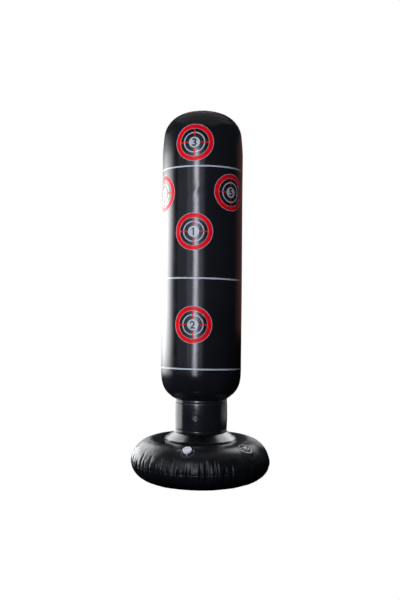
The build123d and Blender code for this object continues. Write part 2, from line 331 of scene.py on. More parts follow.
def noise_map(tree, scale, detail, low, high):
    """A noise over the piece's own coordinates, mapped to a range of values."""
    coords = tree.nodes.new("ShaderNodeTexCoord")
    noise = tree.nodes.new("ShaderNodeTexNoise")
    noise.inputs["Scale"].default_value = scale
    noise.inputs["Detail"].default_value = detail
    span = tree.nodes.new("ShaderNodeMapRange")
    span.inputs["From Min"].default_value = 0.3
    span.inputs["From Max"].default_value = 0.7
    span.inputs["To Min"].default_value = low
    span.inputs["To Max"].default_value = high
    tree.links.new(coords.outputs["Object"], noise.inputs["Vector"])
    tree.links.new(noise.outputs["Fac"], span.inputs["Value"])
    return span.outputs["Result"]


def vary_colour(tree, bsdf, low, high, scale):
    mix = tree.nodes.new("ShaderNodeMix")
    mix.data_type = "RGBA"
    mix.inputs["A"].default_value = (*low, 1)
    mix.inputs["B"].default_value = (*high, 1)
    tree.links.new(noise_map(tree, scale, 4, 0, 1), mix.inputs["Factor"])
    tree.links.new(mix.outputs["Result"], bsdf.inputs["Base Color"])


def add_bump(tree, bsdf, layers):
    """Stacks bumps: each layer is noise scale, detail and height."""
    last = None
    for scale, detail, height in layers:
        bump = tree.nodes.new("ShaderNodeBump")
        bump.inputs["Distance"].default_value = height
        bump.inputs["Strength"].default_value = 1
        tree.links.new(noise_map(tree, scale, detail, 0, 1), bump.inputs["Height"])
        if last:
            tree.links.new(last, bump.inputs["Normal"])
        last = bump.outputs["Normal"]
    tree.links.new(last, bsdf.inputs["Normal"])


def film_material(name, dark, light, rough):
    m, tree, bsdf = material(name, dark, rough[0], Specular_IOR_Level=0.5)
    vary_colour(tree, bsdf, dark, light, 9)
    tree.links.new(noise_map(tree, 14, 5, *rough), bsdf.inputs["Roughness"])
    add_bump(tree, bsdf, [(1500, 2, 0.00002), (60, 3, 0.00006)])
    return m


INK_ROUGHNESS = (0.2, 0.32)


def ink_material(name, low, high, shine=0.35):
    m, tree, bsdf = material(name, low, INK_ROUGHNESS[0], Specular_IOR_Level=shine)
    vary_colour(tree, bsdf, low, high, 120)
    tree.links.new(noise_map(tree, 60, 4, *INK_ROUGHNESS), bsdf.inputs["Roughness"])
    add_bump(tree, bsdf, [(1800, 2, 0.00002)])
    return m


column_film = film_material("column_film", (0.0075, 0.008, 0.010), (0.010, 0.011, 0.014), (0.13, 0.2))
neck_film = film_material("neck_film", (0.0075, 0.008, 0.010), (0.011, 0.012, 0.015), (0.16, 0.24))
base_film = film_material("base_film", (0.008, 0.0085, 0.011), (0.012, 0.013, 0.016), (0.26, 0.36))
red_ink = ink_material("red_ink", (0.84, 0.002, 0.009), (0.90, 0.004, 0.013), shine=0.10)
white_ink = ink_material("white_ink", (0.48, 0.54, 0.58), (0.53, 0.59, 0.63))
pale_ink = ink_material("pale_ink", (0.35, 0.45, 0.50), (0.45, 0.54, 0.59))
grey_ink = ink_material("grey_ink", (0.045, 0.048, 0.056), (0.06, 0.064, 0.075))
black_ink = ink_material("black_ink", (0.010, 0.010, 0.012), (0.014, 0.014, 0.017))


def moulded(name, low, high, rough, **inputs):
    m, tree, bsdf = material(name, low, rough[0], **inputs)
    vary_colour(tree, bsdf, low, high, 180)
    tree.links.new(noise_map(tree, 220, 4, *rough), bsdf.inputs["Roughness"])
    add_bump(tree, bsdf, [(900, 3, 0.00003)])
    return m


clear_pvc = moulded("clear_pvc", (0.42, 0.46, 0.52), (0.5, 0.54, 0.6), (0.08, 0.2),
                    Transmission_Weight=0.75, IOR=1.53)
seat_pvc = moulded("seat_pvc", (0.008, 0.009, 0.012), (0.012, 0.013, 0.017), (0.16, 0.26))
flange_pvc = moulded("flange_pvc", (0.030, 0.035, 0.045), (0.045, 0.052, 0.064), (0.14, 0.22))
plug_white = moulded("plug_white", (0.72, 0.73, 0.78), (0.80, 0.81, 0.86), (0.34, 0.5))
strap_pvc = moulded("strap_pvc", (0.07, 0.075, 0.09), (0.10, 0.11, 0.13), (0.22, 0.36))
water_clear = moulded("water_clear", (0.72, 0.86, 0.9), (0.78, 0.9, 0.94), (0.02, 0.06),
                      Transmission_Weight=0.95, IOR=1.333)
divider_film = film_material("divider_film", (0.02, 0.021, 0.025), (0.028, 0.029, 0.034), (0.25, 0.38))

# --- Unevenness of the column -------------------------------------------------------------

# The side is a straight line, so the arcs below it start anew, straight down.
column_upper = [
    (0, TOP_Z),
    (0.099, TOP_Z - 0.020),
    (0.150, SHOULDER_SEAM_Z),
    (0.1683, SHOULDER_SEAM_Z - 0.048),
    (COLUMN_R, SIDE_TOP_Z),
]
column_lower = [(COLUMN_R, SIDE_LOW_Z), (0.171, 0.424), (0.136, HEEL_SEAM_Z), (NECK_R, NECK_TOP)]
column = Outline(
    np.concatenate([chain(column_upper, (1, 0)), chain(column_lower, (0, -1))]), soften=0.006
)
SHOULDER_S = column.where(SHOULDER_SEAM_Z)
HEEL_S = column.where(HEEL_SEAM_Z)


def pleats(seed, count, width, depth, reach, jitter=0.35):
    """Random folds around a seam: azimuth, width, depth and reach of each."""
    r = np.random.default_rng(seed)
    centres = (np.arange(count) + r.uniform(-jitter, jitter, count)) * 2 * pi / count
    return [
        (c, r.uniform(*width), r.uniform(*depth), r.uniform(*reach), r.uniform(*reach))
        for c in centres
    ]


def fold(folds, a, s, r, seam):
    """Valleys that are deepest on the seam and run out on both sides of it."""
    total = np.zeros(np.broadcast(a, s).shape)
    side = s < seam
    for centre, width, depth, before, after in folds:
        across = off(a, centre) * r
        near = np.abs(across) < 6 * width
        reach = np.where(side, before, after)
        fade = ease(1 - np.abs(s - seam) / reach)
        section = bell(across / width) - 0.45 * bell(across / (2.2 * width))
        total = total + np.where(near, -depth * fade * section, 0)
    return total


heel_folds = pleats(11, 58, (0.0022, 0.0040), (0.0012, 0.0034), (0.030, 0.070))
shoulder_folds = pleats(12, 46, (0.0025, 0.005), (0.0002, 0.0008), (0.012, 0.040))
swell = waves(3, 9, (2, 7), (-9, 9))
ripple = waves(4, 10, (6, 16), (-40, 40))


def column_relief(a, s, r, z):
    ends = ease(s / 0.1) * ease((column.length - s) / 0.03)
    body = ease((s - SHOULDER_S) / 0.12) * ease((HEEL_S - s) / 0.12)
    h = 0.0010 * swell(a, s) * ends * (0.35 + 0.65 * body)
    low = ease((0.80 - z) / 0.35) * body
    h = h + 0.00022 * ripple(a, s) * (0.25 + 0.9 * low) * body
    h = h + fold(heel_folds, a, s, r, HEEL_S) * ease((column.length - s) / 0.012)
    h = h + fold(shoulder_folds, a, s, r, SHOULDER_S)
    h = h - 0.0011 * bell((s - SHOULDER_S) / 0.0022) - 0.0012 * bell((s - HEEL_S) / 0.0022)
    crease = bell((z - 1.236 - 0.12 * off(a, radians(4))) / 0.014) * bell(off(a, radians(2)) / 0.13)
    h = h + 0.0009 * crease
    side = 1 - ease((np.abs(off(a, pi)) * r - LAP / 2) / 0.0008)
    return h + FILM * side * ease((z - SIDE_LOW_Z - 0.002) / 0.004) * ease((SIDE_TOP_Z - 0.002 - z) / 0.004)


def spaced(start, end, step):
    return np.linspace(start, end, max(2, int(round((end - start) / step)) + 1))


def joined(*runs):
    return np.unique(np.round(np.concatenate(runs), 7))


lap_half = LAP / 2 + np.linspace(-0.0006, 0.0014, 5)
lap_edges = pi + np.array([-1, 1])[:, None] * lap_half[None, :] / COLUMN_R
column_around = around(360, off(lap_edges.ravel(), 0))
SEAM_GAP = 0.00006

dome = film_sheet(
    "column_dome", column, column_relief,
    joined(
        [0],
        spaced(0.003, SHOULDER_S - 0.012, 0.004),
        spaced(SHOULDER_S - 0.012, SHOULDER_S - SEAM_GAP, 0.0012),
    ),
    column_around, column_film,
)
low_side = column.where(0.53)
side = film_sheet(
    "column_side", column, column_relief,
    joined(
        spaced(SHOULDER_S + SEAM_GAP, SHOULDER_S + 0.012, 0.0012),
        spaced(SHOULDER_S + 0.012, SHOULDER_S + 0.14, 0.004),
        spaced(SHOULDER_S + 0.14, low_side, 0.006),
        spaced(low_side, HEEL_S - 0.012, 0.003),
        spaced(HEEL_S - 0.012, HEEL_S - SEAM_GAP, 0.0012),
    ),
    column_around, column_film,
)
heel = film_sheet(
    "column_heel", column, column_relief,
    joined(spaced(HEEL_S + SEAM_GAP, HEEL_S + 0.010, 0.0012), spaced(HEEL_S + 0.010, column.length, 0.002)),
    column_around, column_film,
)
for piece, node in ((dome, "column_top_panel"), (side, "column_skin"), (heel, "column_bottom_panel")):
    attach(piece, "column")
    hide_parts(node)

# --- Prints -------------------------------------------------------------------------------


HOOP = 1.05  # how much wider the prints are around the column than along it; a guess
DISC_R = 0.0228

# Inner and outer radius of a target's rings.
OUTLINE = (0.0768, 0.0785)
RED_RING = (0.0593, 0.0766)
INNER_OUTLINE = (0.0578, 0.0591)
WHITE_RING = (0.0390, 0.0436)
FAINT_RING = (0.0302, 0.0312)


def print_piece(name, u, v, faces, azimuth, s, ink, lift=INK_LIFT):
    """A flat print, u around and v up from its centre, laid on the column's surface."""
    along = s - v
    r, _ = column.at(along)
    points = lifted(column, column_relief, azimuth + HOOP * u / np.maximum(r, 0.02), along, lift)
    piece = shell(name, points, faces, INK, ink)
    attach(piece, "column")
    return piece


def ring(name, inner, outer, azimuth, s, ink):
    columns = 144
    rows = max(2, int(np.ceil((outer - inner) / 0.0025)) + 1)
    angle = np.arange(columns) * 2 * pi / columns
    radius = np.linspace(outer, inner, rows)
    grid_r, grid_t = np.meshgrid(radius, angle, indexing="ij")
    faces = grid_faces(rows, columns, True)[:, ::-1]
    u, v = (grid_r * np.cos(grid_t)).ravel(), (grid_r * np.sin(grid_t)).ravel()
    return print_piece(name, u, v, facing(u, v, faces), azimuth, s, ink)


def facing(u, v, faces):
    """Turns flat faces so that they run anticlockwise as seen from outside."""
    a, b, c = faces[:, 0], faces[:, 1], faces[:, 2]
    area = (u[b] - u[a]) * (v[c] - v[a]) - (v[b] - v[a]) * (u[c] - u[a])
    return faces if area.sum() > 0 else faces[:, ::-1]


def patch(name, u0, u1, v0, v1, azimuth, s, ink, lift):
    """A small rectangle."""
    us, vs = spaced(u0, u1, 0.002), spaced(v0, v1, 0.002)
    grid_v, grid_u = np.meshgrid(vs, us, indexing="ij")
    u, v = grid_u.ravel(), grid_v.ravel()
    faces = facing(u, v, grid_faces(len(vs), len(us), False))
    return print_piece(name, u, v, faces, azimuth, s, ink, lift)


def digit(name, text, height, azimuth, s, ink, lift):
    """A plain sans number from Blender's own font, cut into small faces and laid on."""
    curve = bpy.data.curves.new(name, "FONT")
    curve.body = text
    curve.offset = 0.03
    obj = bpy.data.objects.new(name, curve)
    bpy.context.scene.collection.objects.link(obj)
    bpy.context.view_layer.update()
    mesh = bpy.data.meshes.new_from_object(obj)
    bpy.data.objects.remove(obj)
    bm = bmesh.new()
    bm.from_mesh(mesh)
    bpy.data.meshes.remove(mesh)
    co = np.array([v.co[:2] for v in bm.verts])
    low, high = co.min(0), co.max(0)
    scale = height / (high[1] - low[1])
    for v in bm.verts:
        v.co.x = (v.co.x - (low[0] + high[0]) / 2) * scale
        v.co.y = (v.co.y - (low[1] + high[1]) / 2) * scale
        v.co.z = 0
    for axis in (0, 1):
        for cut in np.arange(-0.02, 0.0201, 0.002):
            normal = (1, 0, 0) if axis == 0 else (0, 1, 0)
            where = (cut, 0, 0) if axis == 0 else (0, cut, 0)
            geom = bm.verts[:] + bm.edges[:] + bm.faces[:]
            bmesh.ops.bisect_plane(bm, geom=geom, plane_co=where, plane_no=normal)
    bmesh.ops.remove_doubles(bm, verts=bm.verts, dist=1e-6)
    bmesh.ops.triangulate(bm, faces=bm.faces)
    bm.verts.ensure_lookup_table()
    u = np.array([v.co.x for v in bm.verts])
    v = np.array([v.co.y for v in bm.verts])
    tris = np.array([[w.index for w in f.verts] for f in bm.faces])
    bm.free()
    faces = np.stack([tris[:, 0], tris[:, 1], tris[:, 2], tris[:, 2]], -1)
    return print_piece(name, u, v, facing(u, v, faces), azimuth, s, ink, lift)


def target(name, text, azimuth, s):
    azimuth = radians(azimuth)
    ring(f"{name}_outline", *OUTLINE, azimuth, s, pale_ink)
    ring(f"{name}_red_ring", *RED_RING, azimuth, s, red_ink)
    ring(f"{name}_inner_outline", *INNER_OUTLINE, azimuth, s, pale_ink)
    ring(f"{name}_faint_ring", *FAINT_RING, azimuth, s, grey_ink)
    ring(f"{name}_white_ring", *WHITE_RING, azimuth, s, white_ink)
    for k, side_name in enumerate(("right", "up", "left", "down")):
        c, d = round(cos(k * pi / 2)), round(sin(k * pi / 2))
        near, far, half = 0.0266, 0.0569, 0.0024
        us = sorted((near * c - half * abs(d), far * c + half * abs(d)))
        vs = sorted((near * d - half * abs(c), far * d + half * abs(c)))
        patch(f"{name}_tick_{side_name}", *us, *vs, azimuth, s, red_ink, OVER_LIFT)
    ring(f"{name}_disc", 0.0002, DISC_R, azimuth, s, white_ink)
    digit(f"{name}_number", text, 0.033, azimuth, s, black_ink, OVER_LIFT)
    if text == "1":
        # The font's one is a bare stroke, so it gets its flag.
        t, w = np.meshgrid(np.linspace(0, 1, 6), np.linspace(0, 1, 4), indexing="ij")
        u, v = (0.0005 - 0.0085 * t).ravel(), (0.0165 - 0.0062 * t - 0.0042 * w).ravel()
        faces = facing(u, v, grid_faces(6, 4, False))
        print_piece(f"{name}_flag", u, v, faces, azimuth, s, black_ink, OVER_LIFT)


# Number, azimuth in degrees and height of each target.
TARGETS = (("3", 0, 1.434), ("1", 0, 1.063), ("2", 0, 0.675), ("5", 55, 1.231), ("4", -56.5, 1.231))
for number, azimuth, z in TARGETS:
    target(f"target_{number}", number, azimuth, column.where(z))

# The printed lines run a little askew: height, rise towards the front, fall to the right.
LINES = (("upper", 1.335, 0, 0), ("middle", 0.864, 0.005, 0.003), ("lower", 0.482, 0.008, 0.002))
for label, z, rise, fall in LINES:
    rows = spaced(-0.0032, 0.0032, 0.0016)
    grid_s, grid_a = np.meshgrid(rows, column_around, indexing="ij")
    turn = grid_a - CAMERA_AZIMUTH
    along = column.where(z) + grid_s - rise * np.cos(turn) + fall * np.sin(turn)
    points = lifted(column, column_relief, grid_a, along, INK_LIFT).reshape(-1, 3)
    faces = grid_faces(len(rows), len(column_around), True)
    line = shell(f"printed_line_{label}", points, faces, INK, white_ink)
    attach(line, "column")

# The bullseye on the dome is larger, and is drawn onto the crown around its pole.
DOME_SCALE = 1.44
for label, inner, outer, ink in (
    ("outline", *OUTLINE, pale_ink),
    ("red_ring", *RED_RING, red_ink),
    ("inner_outline", *INNER_OUTLINE, pale_ink),
    ("white_ring", *WHITE_RING, white_ink),
    ("disc", 0.0006, DISC_R, white_ink),
):
    rows = spaced(DOME_SCALE * inner, DOME_SCALE * outer, 0.002)
    angles = around(180)
    grid_s, grid_a = np.meshgrid(rows, angles, indexing="ij")
    points = lifted(column, column_relief, grid_a, grid_s, INK_LIFT).reshape(-1, 3)
    faces = grid_faces(len(rows), len(angles), True)
    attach(shell(f"dome_target_{label}", points, faces, INK, ink), "column")

# --- Neck ---------------------------------------------------------------------------------

span_z = np.linspace(NECK_TOP, NECK_LOW, 60)
middle = (NECK_TOP + NECK_LOW) / 2
bulge = NECK_BULGE * (1 - ((span_z - middle) / ((NECK_TOP - NECK_LOW) / 2)) ** 2)
neck = Outline(np.stack([NECK_R + bulge, span_z], -1))
neck_swell = waves(21, 6, (2, 6), (-18, 18))
neck_ripple = waves(22, 8, (5, 12), (-60, 60))
SITE_CLEAR = 0.022  # how far the neck's unevenness and the cut between its sheets stay from the valve


def neck_relief(a, s, r, z):
    valve = np.hypot(off(a, 0) * r, z - NECK_VALVE_Z)
    clear = ease((valve - SITE_CLEAR) / 0.03)
    ends = ease(s / 0.006) * ease((neck.length - s) / 0.006)
    h = (0.0006 * neck_swell(a, s) + 0.0002 * neck_ripple(a, s)) * ends * clear
    h = h - 0.0030 * bell(off(a, radians(82)) / 0.16) * ends * ease((0.335 - z) / 0.05)
    h = h - 0.0012 * bell((off(a, radians(56)) * r + 0.55 * (0.33 - z)) / 0.005) * ends
    for at in (NECK_TOP - 0.012, NECK_LOW + 0.013):
        h = h - 0.0007 * bell((z - at) / 0.0018)
    return h


neck_valve = ((0, -(NECK_R + NECK_BULGE), NECK_VALVE_Z), (0, -1, 0), SLEEVE_R)
neck_around = around(240)
cut_s = neck.where(NECK_VALVE_Z) - SITE_CLEAR
neck_upper = film_sheet(
    "neck_film_upper", neck, neck_relief, spaced(0, cut_s, 0.0015), neck_around, neck_film,
)
neck_lower = film_sheet(
    "neck_film_lower", neck, neck_relief, spaced(cut_s, neck.length, 0.0015), neck_around, neck_film,
    holes=[neck_valve],
)
for piece in (neck_upper, neck_lower):
    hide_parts("neck_skin")
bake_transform(neck_lower)
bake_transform(neck_upper)

# --- Base ---------------------------------------------------------------------------------

well_run, well_drop = CROWN_R - WELL[0], CROWN_Z - WELL[1]
well_bend = (well_run**2 + well_drop**2) / (2 * well_drop)
well_r = np.linspace(WELL[0], CROWN_R, 60)
well_z = CROWN_Z - well_bend + np.sqrt(well_bend**2 - (CROWN_R - well_r) ** 2)
quarter = np.linspace(pi / 2, 0, 90)[1:]
base_top = Outline(
    np.concatenate([
        np.stack([well_r, well_z], -1),
        np.stack([CROWN_R + TUBE_R * np.cos(quarter), EQUATOR_Z + TUBE_R * np.sin(quarter)], -1),
    ])
)
shoulder = (FOOT_R + (BASE_R - FOOT_R) * cos(pi / 4), EQUATOR_Z * (1 - sin(pi / 4)))
base_bottom = Outline(chain([(BASE_R, EQUATOR_Z), shoulder, (FOOT_R, 0), (0, 0)], (0, -1)))
TOP_LENGTH = base_top.length

# One pleat list serves both panels, so that each fold runs on across the equator seam.
pleat_list = pleats(31, 64, (0.0026, 0.0052), (0.0040, 0.0095), (0.035, 0.095), jitter=0.42)
fine_list = pleats(32, 110, (0.0012, 0.0024), (0.0005, 0.0016), (0.014, 0.038), jitter=0.45)
base_swell = waves(33, 9, (2, 9), (-16, 16))
base_ripple = waves(34, 10, (7, 20), (-60, 60))


SIM_AROUND, SIM_STEP, SIM_FRAMES = 448, 0.008, 22
SEED_DEPTH = 0.7  # share of the pleats' depth that the simulation starts from
GROWTH = 0.05  # spare length of the film at the equator, where two flat rings are welded
FREE_OUT, FREE_IN = 0.0032, 0.009  # how far a point may end up off the outline


def settle_base():
    """Inflates the base's film by cloth simulation.

    Returns the rows' arc length from the well, over the equator to the foot, and how far
    each grid point ends up off the outline.
    """
    top_s = spaced(0, TOP_LENGTH, SIM_STEP)
    low_s = spaced(0, base_bottom.length - FOOT_R + 0.02, SIM_STEP)[1:]
    azimuth = np.arange(SIM_AROUND) * 2 * pi / SIM_AROUND - pi
    start, even, out = [], [], []
    for outline, s, shift in ((base_top, top_s, -TOP_LENGTH), (base_bottom, low_s, 0)):
        grid_s, grid_a = np.meshgrid(s, azimuth, indexing="ij")
        signed = grid_s + shift

        def seed(a, s, r, z):
            return SEED_DEPTH * fold(pleat_list, a, signed, BASE_R, 0.0)

        start.append(place(outline, seed, grid_a, grid_s))
        even.append(place(outline, lambda a, s, r, z: 0 * a, grid_a, grid_s))
        nr, nz = outline.normal(grid_s)
        out.append(np.stack([nr * np.sin(grid_a), -nr * np.cos(grid_a), nz], -1))
    start, even, out = np.concatenate(start), np.concatenate(even), np.concatenate(out)
    rows = len(start)
    signed = np.concatenate([top_s - TOP_LENGTH, low_s])
    radius = np.hypot(even[..., 0], even[..., 1])
    a = np.broadcast_to(azimuth, radius.shape)
    free = ease((radius - 0.170) / 0.03) * ease((radius - FOOT_R) / 0.02 + (even[..., 2] > 0.05))
    free = free * np.where(even[..., 2] > EQUATOR_Z, sites_clear(a, radius, 0.034, 0.018), 1)

    mesh = bpy.data.meshes.new("base_sim")
    mesh.from_pydata(start.reshape(-1, 3).tolist(), [], grid_faces(rows, SIM_AROUND, True).tolist())
    obj = bpy.data.objects.new("base_sim", mesh)
    bpy.context.scene.collection.objects.link(obj)
    pins = obj.vertex_groups.new(name="pins")
    for index, weight in enumerate((1 - free).ravel().tolist()):
        if weight > 0:
            pins.add([index], weight, "REPLACE")
    # The growth is the shrink's lower end, so the group holds where the film has none.
    even_cut = obj.vertex_groups.new(name="even_cut")
    for row, share in enumerate(1 - bell(signed / 0.060)):
        members = list(range(row * SIM_AROUND, (row + 1) * SIM_AROUND))
        even_cut.add(members, float(share), "REPLACE")
    cloth = obj.modifiers.new("cloth", "CLOTH")
    c = cloth.settings
    c.quality = 6
    c.mass = 0.05
    c.tension_stiffness, c.compression_stiffness = 40, 40
    c.shear_stiffness, c.bending_stiffness = 5, 0.05
    c.tension_damping, c.compression_damping, c.shear_damping, c.bending_damping = 2, 2, 2, 0.2
    c.air_damping = 1
    c.use_pressure = True
    c.uniform_pressure_force = 2
    c.vertex_group_mass = "pins"
    c.vertex_group_shrink = "even_cut"
    c.shrink_max, c.shrink_min = 0, -GROWTH
    c.effector_weights.gravity = 0
    cloth.collision_settings.use_collision = False
    cloth.point_cache.frame_start, cloth.point_cache.frame_end = 1, SIM_FRAMES
    scene = bpy.context.scene
    for number in range(1, SIM_FRAMES + 1):
        scene.frame_set(number)
    inflated = obj.evaluated_get(bpy.context.evaluated_depsgraph_get())
    moved = np.empty(3 * rows * SIM_AROUND, np.float32)
    inflated.to_mesh().vertices.foreach_get("co", moved)
    inflated.to_mesh_clear()
    scene.frame_set(1)
    bpy.data.objects.remove(obj)
    bpy.data.meshes.remove(mesh)
    height = ((moved.reshape(rows, SIM_AROUND, 3) - even) * out).sum(-1)
    # Each row keeps the outline that was measured: only its puckers are used.
    height = height - height.mean(axis=1, keepdims=True) * free
    height = np.where(
        height > 0, FREE_OUT * np.tanh(height / FREE_OUT), FREE_IN * np.tanh(height / FREE_IN)
    )
    return signed + TOP_LENGTH, height


def spline(t):
    """Weights of the four grid points around a share t of a step."""
    return (1 - t) ** 3 / 6, (3 * t**3 - 6 * t**2 + 4) / 6, (1 + 3 * t + 3 * t**2 - 3 * t**3) / 6, t**3 / 6


def settled(a, s):
    """How far the inflated film stands off its outline, s from the well over the equator."""
    rows, height = puckers
    row = np.interp(s, rows, np.arange(len(rows)))
    turn = (a + pi) / (2 * pi) * SIM_AROUND
    i, j = np.floor(row).astype(int), np.floor(turn).astype(int)
    total = 0
    for di, wi in zip(range(-1, 3), spline(row - i)):
        for dj, wj in zip(range(-1, 3), spline(turn - j)):
            total = total + wi * wj * height[np.clip(i + di, 0, len(rows) - 1), (j + dj) % SIM_AROUND]
    return total


def valve_clear(a, r, azimuth, radius, size):
    across = off(a, azimuth) * radius
    return ease((np.hypot(across, r - radius) - size) / 0.03)


def sites_clear(a, r, water_size, air_size):
    """0 at the base's two valves, 1 away from them."""
    water = valve_clear(a, r, 0, WATER_VALVE_R, water_size)
    return water * valve_clear(a, r, AIR_VALVE_AZIMUTH, AIR_VALVE_R, air_size)


puckers = settle_base()

drawn = np.random.default_rng(35)
creases = [
    (
        radians(-13 - 2.9 * k + drawn.uniform(-0.8, 0.8)),
        drawn.uniform(0.50, 0.80),
        drawn.uniform(0.5, 1.0),
    )
    for k in range(11)
]

PLEATS_LEFT = 0.65  # the rest of the pleats is in the simulated film
PUCKER_SHARE = 0.75
RIM_R, RIM_DEPTH, RIM_WIDTH = 0.0265, 0.0016, 0.0030  # the puckered ring around the air valve


def base_common(a, signed):
    """Folds against the signed arc length from the equator seam, the same for both panels."""
    large = PLEATS_LEFT * fold(pleat_list, a, -signed, BASE_R, 0.0)
    fine = 0.8 * fold(fine_list, a, -signed, BASE_R, 0.0)
    return large + fine - 0.0007 * bell(signed / 0.0012)


def top_relief(a, s, r, z):
    above = TOP_LENGTH - s
    quiet = ease((r - 0.166) / 0.03)
    clear = sites_clear(a, r, 0.036, 0.020)
    h = (0.0011 * base_swell(a, above) + 0.00035 * base_ripple(a, above)) * quiet
    for centre, bend, size in creases:
        across = off(a, centre - bend * ease((s - 0.07) / 0.16)) * r
        run = ease((s - 0.08) / 0.03) * ease((above - 0.015) / 0.04)
        h = h + 0.0008 * size * (bell(across / 0.0017) - 0.5 * bell(across / 0.0036)) * run
    across = off(a, AIR_VALVE_AZIMUTH) * AIR_VALVE_R
    rim = np.hypot(across, (r - AIR_VALVE_R) / 0.8) - RIM_R
    wavy = 1 + 0.3 * np.sin(9 * np.arctan2(r - AIR_VALVE_R, across))
    pucker = -RIM_DEPTH * bell(rim / RIM_WIDTH) * wavy
    puffed = PUCKER_SHARE * settled(a, s) * (0.2 + 0.8 * ease((0.105 - above) / 0.05))
    return h * clear + base_common(a, above) * clear * quiet + pucker + puffed * quiet


def bottom_relief(a, s, r, z):
    quiet = ease((r - FOOT_R) / 0.03)
    h = (0.0011 * base_swell(a, -s) + 0.00035 * base_ripple(a, -s)) * ease(z / 0.02)
    return (h + base_common(a, -s) + PUCKER_SHARE * settled(a, s + TOP_LENGTH)) * quiet


base_around = around(900)


def site(azimuth, radius):
    """Centre of a valve's hole in the upper panel, and the direction that it faces."""
    run = radius - CROWN_R
    rise = (TUBE_R**2 - run**2) ** 0.5
    centre = (radius * sin(azimuth), -radius * cos(azimuth), EQUATOR_Z + rise)
    return centre, (run * sin(azimuth) / TUBE_R, -run * cos(azimuth) / TUBE_R, rise / TUBE_R)


air_site = site(AIR_VALVE_AZIMUTH, AIR_VALVE_R)
water_site = site(0, WATER_VALVE_R)

base_upper = film_sheet(
    "base_film_upper", base_top, top_relief,
    joined(spaced(0, 0.05, 0.005), spaced(0.05, TOP_LENGTH - SEAM_GAP, 0.0022)),
    base_around, base_film,
    holes=[(*air_site, SLEEVE_R), (*water_site, SPOUT_R)],
)
foot_s = base_bottom.length - FOOT_R
base_lower = film_sheet(
    "base_film_lower", base_bottom, bottom_relief,
    joined(spaced(SEAM_GAP, foot_s, 0.0024), spaced(foot_s, base_bottom.length, 0.02)),
    base_around, base_film,
)
for piece, node in ((base_upper, "base_upper_panel"), (base_lower, "base_lower_panel")):
    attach(piece, "base")
    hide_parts(node)

# --- Collar -------------------------------------------------------------------------------


def top_height(radius):
    return CROWN_Z - well_bend + (well_bend**2 - (CROWN_R - radius) ** 2) ** 0.5


collar_line = Outline(
    np.array([
        (NECK_R, NECK_LOW),
        (COLLAR_RIM_R, COLLAR_RIM_Z),
        (SKIRT_R, top_height(SKIRT_R) + 0.0004),
    ]),
    soften=0.0022,
)
collar_swell = waves(41, 9, (4, 15), (-30, 30))


def collar_relief(a, s, r, z):
    t = s / collar_line.length
    uneven = 0.0010 * collar_swell(a, s) * ease(t / 0.4) * ease((1 - t) / 0.3)
    return uneven + 0.0006 * ease((t - 0.75) / 0.1)


collar = film_sheet("base_collar_film", collar_line, collar_relief,
                    spaced(0, collar_line.length, 0.0012), around(360), base_film)
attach(collar, "base")
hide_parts("base_collar")

# --- CAD nodes that stay ------------------------------------------------------------------

finishes = {
    "water_valve_flange": flange_pvc,
    "water_valve_seat": seat_pvc,
    "water_valve_plug": plug_white,
    "water_valve_strap": strap_pvc,
    "water_ballast": water_clear,
    "chamber_divider": divider_film,
    "base_inner_tube": divider_film,
}
for prefix in ("neck_valve", "base_valve"):
    for part_name in ("sleeve", "stem", "stopper", "strap", "flap"):
        finishes[f"{prefix}_{part_name}"] = clear_pvc
for node, finish in finishes.items():
    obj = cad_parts[node]
    obj.data.materials.clear()
    obj.data.materials.append(finish)

# --- Floor, light and camera --------------------------------------------------------------

CAMERA_D = 3.306
CAMERA_Z = 0.778
CAMERA_LENS = 45.3
CAMERA_ROLL = radians(0.5)
AIM_LEFT = 0.0021192  # how far the camera aims past the axis, to its left, as a slope
towards = Vector((sin(CAMERA_AZIMUTH), -cos(CAMERA_AZIMUTH), 0))
rightwards = Vector((cos(CAMERA_AZIMUTH), sin(CAMERA_AZIMUTH), 0))


def direction(angle):
    """A level direction, counted from the camera's towards its right."""
    return towards * cos(radians(angle)) + rightwards * sin(radians(angle))


camera_data = bpy.data.cameras.new("camera")
camera_data.lens = CAMERA_LENS
camera_data.sensor_width = 36
camera = bpy.data.objects.new("camera", camera_data)
bpy.context.scene.collection.objects.link(camera)
aim = (-towards - rightwards * AIM_LEFT).normalized()
across = aim.cross(Vector((0, 0, 1))).normalized()
right = across * cos(CAMERA_ROLL) + Vector((0, 0, 1)) * sin(CAMERA_ROLL)
up = right.cross(aim)
turn = Matrix((right, up, -aim)).transposed().to_4x4()
camera.matrix_world = Matrix.Translation(towards * CAMERA_D + Vector((0, 0, CAMERA_Z))) @ turn
bpy.context.scene.camera = camera


def area_light(name, centre, look_at, width, height, radiance, colour):
    data = bpy.data.lights.new(name, "AREA")
    data.shape = "RECTANGLE"
    data.size, data.size_y = width, height
    data.energy = radiance * pi * width * height
    data.color = colour
    light = bpy.data.objects.new(name, data)
    bpy.context.scene.collection.objects.link(light)
    light.location = centre
    light.rotation_euler = (Vector(look_at) - Vector(centre)).to_track_quat("-Z", "Y").to_euler()
    light.visible_camera = False
    return light


def wall_light(name, first, last, distance, low, high, radiance, colour):
    """An upright panel that spans two directions from the object."""
    a, b = direction(first) * distance, direction(last) * distance
    centre = (a + b) / 2 + Vector((0, 0, (low + high) / 2))
    return area_light(name, centre, (0, 0, centre.z), (b - a).length, high - low, radiance, colour)


WINDOW_WHITE = (0.97, 0.98, 1.0)
STRIP_BLUE = (0.80, 0.84, 1.0)
WINDOW_D = 2.2
WINDOW_PEAK = 12.2

